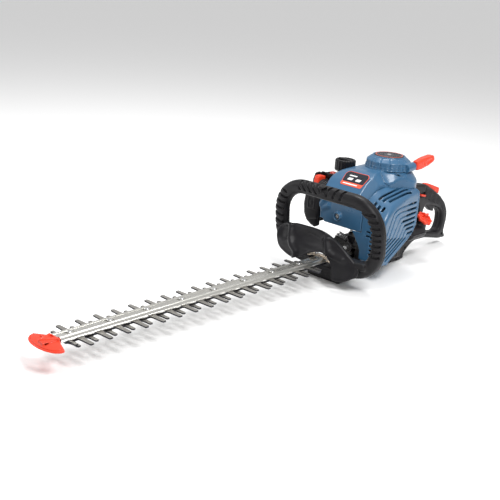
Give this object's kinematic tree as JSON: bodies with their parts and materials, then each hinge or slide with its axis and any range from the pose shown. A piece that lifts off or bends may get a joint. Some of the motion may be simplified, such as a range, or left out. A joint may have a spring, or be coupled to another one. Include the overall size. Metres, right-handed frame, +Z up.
{
  "type": "hedge trimmer",
  "caption": "Petrol hedge trimmer: double-sided reciprocating blade on a guide bar, loop front handle with hand guard, recoil-start engine and D-shaped rear handle.",
  "frame": {"origin": "on the flat underside of the engine's base, straight below the upright crankshaft", "axes": "+Z up, +Y rearwards to the D handle, -Y forwards along the blade to its tip, +X the machine's left (exhaust side)"},
  "size_m": [0.2612, 1.0857, 0.229],
  "materials": {
    "blade_steel": "satin",
    "bar_aluminium": "satin",
    "plated_steel": "satin",
    "orange_plastic": "gloss",
    "dark_steel": "satin",
    "cast_metal": "matte",
    "blue_plastic": "gloss",
    "black_plastic": "matte",
    "handle_rubber": "matte",
    "rubber": "matte",
    "ceramic": "gloss",
    "rope_fibre": "matte",
    "foam": "matte",
    "tank_plastic": "satin",
    "bulb_rubber": "gloss"
  },
  "bodies": {
    "chassis": {"air_filter_case": "black_plastic", "air_filter_cover": "black_plastic", "air_filter_element": "foam", "bar_bracket": "plated_steel", "base_frame": "black_plastic", "blade_bolt_1": "plated_steel", "blade_bolt_2": "plated_steel", "blade_bolt_3": "plated_steel", "blade_bolt_4": "plated_steel", "blade_bolt_5": "plated_steel", "blade_bolt_6": "plated_steel", "blade_bolt_7": "plated_steel", "blade_bolt_8": "plated_steel", "carburettor": "cast_metal", "crankcase": "cast_metal", "cylinder": "cast_metal", "drum_bearing": "dark_steel", "engine_shroud": "blue_plastic", "front_handle": "handle_rubber", "fuel_tank": "tank_plastic", "gear_bearing_upper": "dark_steel", "gearbox_cover": "cast_metal", "gearbox_housing": "cast_metal", "guide_bar": "bar_aluminium", "hand_guard": "black_plastic", "ignition_coil": "rubber", "intake_insulator": "rubber", "main_bearing": "dark_steel", "muffler": "dark_steel", "muffler_cover": "blue_plastic", "oil_tank": "black_plastic", "plug_boot": "rubber", "rear_handle": "black_plastic", "rocker_cover": "cast_metal", "spark_plug": "ceramic", "starter_cover": "blue_plastic", "starter_disc": "black_plastic", "tip_guard": "orange_plastic"},
    "upper_blade": {"upper_blade": "blade_steel", "upper_conrod": "cast_metal"},
    "lower_blade": {"lower_blade": "blade_steel", "lower_conrod": "cast_metal"},
    "drive_gear": {"drive_gear": "dark_steel"},
    "clutch_drum": {"clutch_drum": "dark_steel"},
    "crankshaft": {"crankshaft": "dark_steel", "flywheel_fan": "cast_metal", "clutch_shoes": "dark_steel"},
    "piston": {"piston": "cast_metal", "wrist_pin": "dark_steel", "connecting_rod": "cast_metal"},
    "starter_reel": {"starter_reel": "black_plastic", "starter_rope": "rope_fibre"},
    "starter_grip": {"starter_grip": "orange_plastic"},
    "choke_lever": {"choke_lever": "orange_plastic"},
    "primer_bulb": {"primer_bulb": "bulb_rubber"},
    "fuel_cap": {"fuel_cap": "black_plastic"},
    "oil_cap": {"oil_cap": "orange_plastic"},
    "throttle_trigger": {"throttle_trigger": "black_plastic"},
    "throttle_lockout": {"throttle_lockout": "orange_plastic"},
    "stop_switch": {"stop_switch": "orange_plastic"}
  },
  "joints": [
    {"name": "upper_blade_slide", "type": "slide", "parent": "chassis", "child": "upper_blade", "axis": [0, 1, 0], "range_m": [-0.00875, 0.00875]},
    {"name": "lower_blade_slide", "type": "slide", "parent": "chassis", "child": "lower_blade", "axis": [0, 1, 0], "range_m": [-0.00875, 0.00875]},
    {"name": "drive_gear_spin", "type": "hinge", "parent": "chassis", "child": "drive_gear", "pos_m": [0, -0.036, 0.051], "axis": [0, 0, 1], "continuous": true},
    {"name": "clutch_drum_spin", "type": "hinge", "parent": "chassis", "child": "clutch_drum", "pos_m": [0, 0, 0.051], "axis": [0, 0, 1], "continuous": true},
    {"name": "crankshaft_spin", "type": "hinge", "parent": "chassis", "child": "crankshaft", "pos_m": [0, 0, 0.12], "axis": [0, 0, 1], "continuous": true},
    {"name": "piston_slide", "type": "slide", "parent": "chassis", "child": "piston", "axis": [0, 1, 0], "range_m": [-0.011, 0.011]},
    {"name": "starter_grip_pull", "type": "slide", "parent": "chassis", "child": "starter_grip", "axis": [0, 0.9744, 0.225], "range_m": [0, 0.5]},
    {"name": "starter_reel_spin", "type": "hinge", "parent": "chassis", "child": "starter_reel", "pos_m": [0, 0, 0.194], "axis": [0, 0, 1], "range_deg": [0, 1063]},
    {"name": "choke_lever_turn", "type": "hinge", "parent": "chassis", "child": "choke_lever", "pos_m": [-0.093, -0.106, 0.156], "axis": [1, 0, 0], "range_deg": [0, 35]},
    {"name": "primer_bulb_press", "type": "slide", "parent": "chassis", "child": "primer_bulb", "axis": [0, 0, -1], "range_m": [0, 0.005], "stiffness_N_per_m": 600, "springref_m": -0.003},
    {"name": "fuel_cap_turn", "type": "hinge", "parent": "chassis", "child": "fuel_cap", "pos_m": [-0.088, -0.025, 0.187], "axis": [0, 0, 1], "range_deg": [0, 360]},
    {"name": "oil_cap_turn", "type": "hinge", "parent": "chassis", "child": "oil_cap", "pos_m": [0.03773, 0.1006, 0.08364], "axis": [0.5708, 0, 0.8211], "range_deg": [0, 360]},
    {"name": "throttle_trigger_pull", "type": "hinge", "parent": "chassis", "child": "throttle_trigger", "pos_m": [0, 0.15, 0.115], "axis": [1, 0, 0], "range_deg": [0, 10], "stiffness_Nm_per_rad": 1, "springref_deg": -8.59},
    {"name": "throttle_lockout_press", "type": "hinge", "parent": "chassis", "child": "throttle_lockout", "pos_m": [0, 0.149, 0.139], "axis": [-1, 0, 0], "range_deg": [0, 4], "stiffness_Nm_per_rad": 1, "springref_deg": -8.59},
    {"name": "stop_switch_slide", "type": "slide", "parent": "chassis", "child": "stop_switch", "axis": [0, 1, 0], "range_m": [0, 0.006]}
  ],
  "couplings": [
    {"joint": "lower_blade_slide", "follows": "upper_blade_slide", "ratio": -1},
    {"joint": "clutch_drum_spin", "follows": "drive_gear_spin", "ratio": -4},
    {"joint": "starter_reel_spin", "follows": "starter_grip_pull", "rad_per_m": 37.037}
  ]
}
